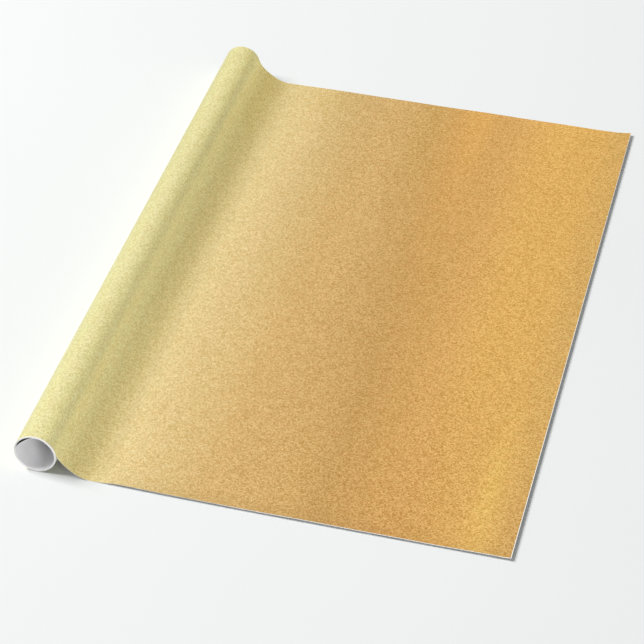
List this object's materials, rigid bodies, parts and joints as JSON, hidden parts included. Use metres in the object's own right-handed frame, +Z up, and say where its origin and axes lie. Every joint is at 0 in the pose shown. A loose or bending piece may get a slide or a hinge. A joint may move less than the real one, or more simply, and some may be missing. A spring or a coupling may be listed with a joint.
{
  "type": "wrapping paper roll",
  "caption": "Coreless roll of gold-faced, white-backed gift wrap, partly unrolled: the sheet lies flat and rises in a reverse curve onto the roll, which rolls to pay out or take up paper.",
  "frame": {"origin": "on the table top, under the middle of the whole object", "axes": "+Z up, +Y along the roll's axis, +X from the roll towards the free edge of the sheet"},
  "size_m": [0.4811, 0.737, 0.042],
  "materials": {
    "printed_face": "satin gold print with a fine grain",
    "white_back": "uncoated white"
  },
  "bodies": {
    "sheet": {"flat_sheet": "printed_face"},
    "lead_off": {"lead_off_curve": "printed_face", "outer_turn": "printed_face"},
    "roll": {"wound_turns": "white_back", "inner_turn": "white_back"}
  },
  "joints": [
    {"name": "roll_travel", "type": "slide", "parent": "sheet", "child": "lead_off", "axis": [1, 0, 0], "range_m": [-1.2, 0.25], "deforming": ["flat_sheet"]},
    {"name": "roll_spin", "type": "hinge", "parent": "lead_off", "child": "roll", "pos_m": [-0.21959, 0, 0.021], "axis": [0, 1, 0], "continuous": true}
  ],
  "couplings": [
    {"joint": "roll_spin", "follows": "roll_travel", "rad_per_m": -47.619}
  ]
}
